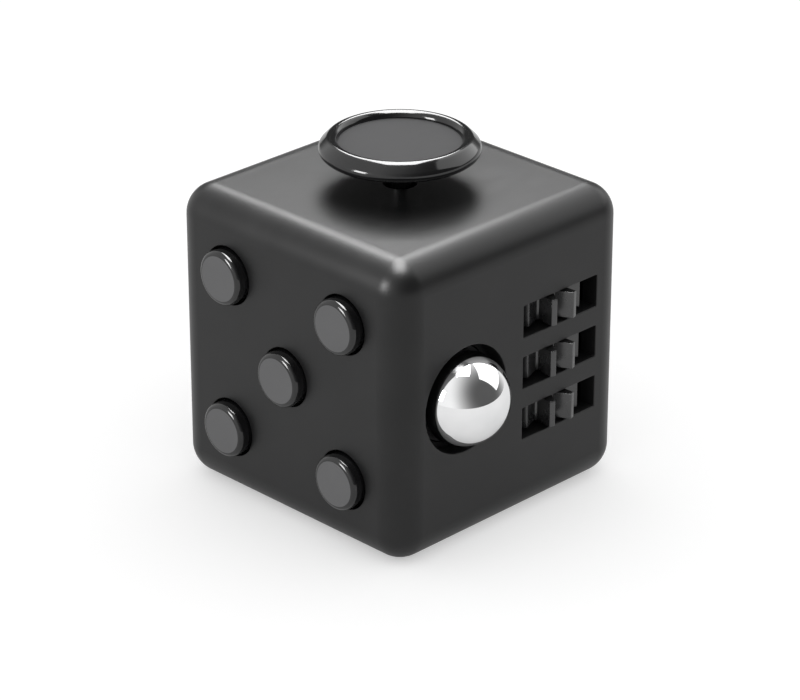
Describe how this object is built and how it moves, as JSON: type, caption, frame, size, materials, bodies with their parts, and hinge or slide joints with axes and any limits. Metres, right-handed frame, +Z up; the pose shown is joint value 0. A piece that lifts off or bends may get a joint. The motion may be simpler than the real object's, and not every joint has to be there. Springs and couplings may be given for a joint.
{
  "type": "fidget cube",
  "caption": "Palm-sized fidget cube with push buttons, a rolling ball, toothed wheels, a tilting thumb disc, a dial, a rocker and a thumb dip.",
  "frame": {"origin": "centre of the flat bottom face that the cube stands on", "axes": "+Z up through the thumb disc, +X out of the ball and wheel face, -Y out of the button face"},
  "size_m": [0.0385, 0.0353, 0.0382],
  "materials": {
    "case_plastic": "satin moulded ABS, black",
    "control_plastic": "smooth moulded ABS, black, glossy at the edges",
    "inner_plastic": "moulded acetal, dark grey",
    "silicone": "soft silicone",
    "steel": "bright drawn steel",
    "ball_chrome": "polished bearing steel",
    "magnet": "nickel plated"
  },
  "bodies": {
    "case": {"main_shell": "case_plastic", "bottom_cover": "case_plastic", "button_pad": "silicone", "click_domes": "steel", "button_board": "inner_plastic", "board_screws": "steel", "roll_carrier": "inner_plastic", "carrier_screws": "steel", "wheel_axle": "steel", "wheel_spacers": "inner_plastic", "ball_spring": "steel", "ball_click_dome": "steel", "stick_housing": "inner_plastic", "housing_screws": "steel", "stick_spring": "steel", "spring_floor": "inner_plastic", "dial_leaf": "steel", "leaf_screws": "steel", "rocker_bracket": "inner_plastic", "rocker_screws": "steel"},
    "button_top_left": {"button_top_left": "control_plastic"},
    "button_top_right": {"button_top_right": "control_plastic"},
    "button_centre": {"button_centre": "control_plastic"},
    "button_bottom_left": {"button_bottom_left": "control_plastic"},
    "button_bottom_right": {"button_bottom_right": "control_plastic"},
    "wheel_top": {"wheel_top": "control_plastic"},
    "wheel_middle": {"wheel_middle": "control_plastic"},
    "wheel_bottom": {"wheel_bottom": "control_plastic"},
    "ball_cup": {"ball_cup": "inner_plastic", "ball_magnet": "magnet"},
    "ball": {"ball": "ball_chrome"},
    "gimbal": {"gimbal_ring": "inner_plastic", "gimbal_pins": "steel"},
    "thumb_stick": {"thumb_stick": "control_plastic", "stick_pin": "steel"},
    "dial": {"dial": "control_plastic", "dial_star": "inner_plastic", "dial_screw": "steel"},
    "rocker": {"rocker": "control_plastic", "rocker_spring": "steel"},
    "rocker_plunger": {"rocker_plunger": "steel"}
  },
  "joints": [
    {"name": "press_top_left", "type": "slide", "parent": "case", "child": "button_top_left", "axis": [0, 1, 0], "range_m": [0, 0.0008], "stiffness_N_per_m": 1200, "springref_m": -0.0003, "deforming": ["button_pad"]},
    {"name": "press_top_right", "type": "slide", "parent": "case", "child": "button_top_right", "axis": [0, 1, 0], "range_m": [0, 0.0008], "stiffness_N_per_m": 1200, "springref_m": -0.0003, "deforming": ["button_pad"]},
    {"name": "press_centre", "type": "slide", "parent": "case", "child": "button_centre", "axis": [0, 1, 0], "range_m": [0, 0.0008], "stiffness_N_per_m": 1200, "springref_m": -0.0003, "deforming": ["button_pad"]},
    {"name": "press_bottom_left", "type": "slide", "parent": "case", "child": "button_bottom_left", "axis": [0, 1, 0], "range_m": [0, 0.0008], "stiffness_N_per_m": 1200, "springref_m": -0.0003, "deforming": ["button_pad"]},
    {"name": "press_bottom_right", "type": "slide", "parent": "case", "child": "button_bottom_right", "axis": [0, 1, 0], "range_m": [0, 0.0008], "stiffness_N_per_m": 1200, "springref_m": -0.0003, "deforming": ["button_pad"]},
    {"name": "wheel_top_spin", "type": "hinge", "parent": "case", "child": "wheel_top", "pos_m": [0.0127, 0.00665, 0.02225], "axis": [0, 0, 1], "continuous": true},
    {"name": "wheel_middle_spin", "type": "hinge", "parent": "case", "child": "wheel_middle", "pos_m": [0.0127, 0.00665, 0.0165], "axis": [0, 0, 1], "continuous": true},
    {"name": "wheel_bottom_spin", "type": "hinge", "parent": "case", "child": "wheel_bottom", "pos_m": [0.0127, 0.00665, 0.01075], "axis": [0, 0, 1], "continuous": true},
    {"name": "ball_press", "type": "slide", "parent": "case", "child": "ball_cup", "axis": [-1, 0, 0], "range_m": [0, 0.0005], "stiffness_N_per_m": 1200, "springref_m": -0.0003, "deforming": ["ball_spring"]},
    {"name": "ball_roll", "type": "hinge", "parent": "ball_cup", "child": "ball", "pos_m": [0.016, -0.0071, 0.0165], "axis": [0, 0, 1], "continuous": true},
    {"name": "stick_tilt_back", "type": "hinge", "parent": "case", "child": "gimbal", "pos_m": [0, 0, 0.0294], "axis": [1, 0, 0], "range_deg": [-7, 7], "stiffness_Nm_per_rad": 0.02, "deforming": ["stick_spring"]},
    {"name": "stick_tilt_side", "type": "hinge", "parent": "gimbal", "child": "thumb_stick", "pos_m": [0, 0, 0.0294], "axis": [0, 1, 0], "range_deg": [-7, 7], "stiffness_Nm_per_rad": 0.02, "deforming": ["stick_spring"]},
    {"name": "dial_spin", "type": "hinge", "parent": "case", "child": "dial", "pos_m": [-0.0165, 0, 0.0165], "axis": [1, 0, 0], "continuous": true, "deforming": ["dial_leaf"]},
    {"name": "rocker_flip", "type": "hinge", "parent": "case", "child": "rocker", "pos_m": [0, 0.0132, 0.0165], "axis": [1, 0, 0], "range_deg": [0, 18]},
    {"name": "plunger_slide", "type": "slide", "parent": "rocker", "child": "rocker_plunger", "axis": [0, 0.9877, -0.1564], "range_m": [0, 0.0005], "stiffness_N_per_m": 150, "springref_m": -0.0005, "deforming": ["rocker_spring"]}
  ]
}
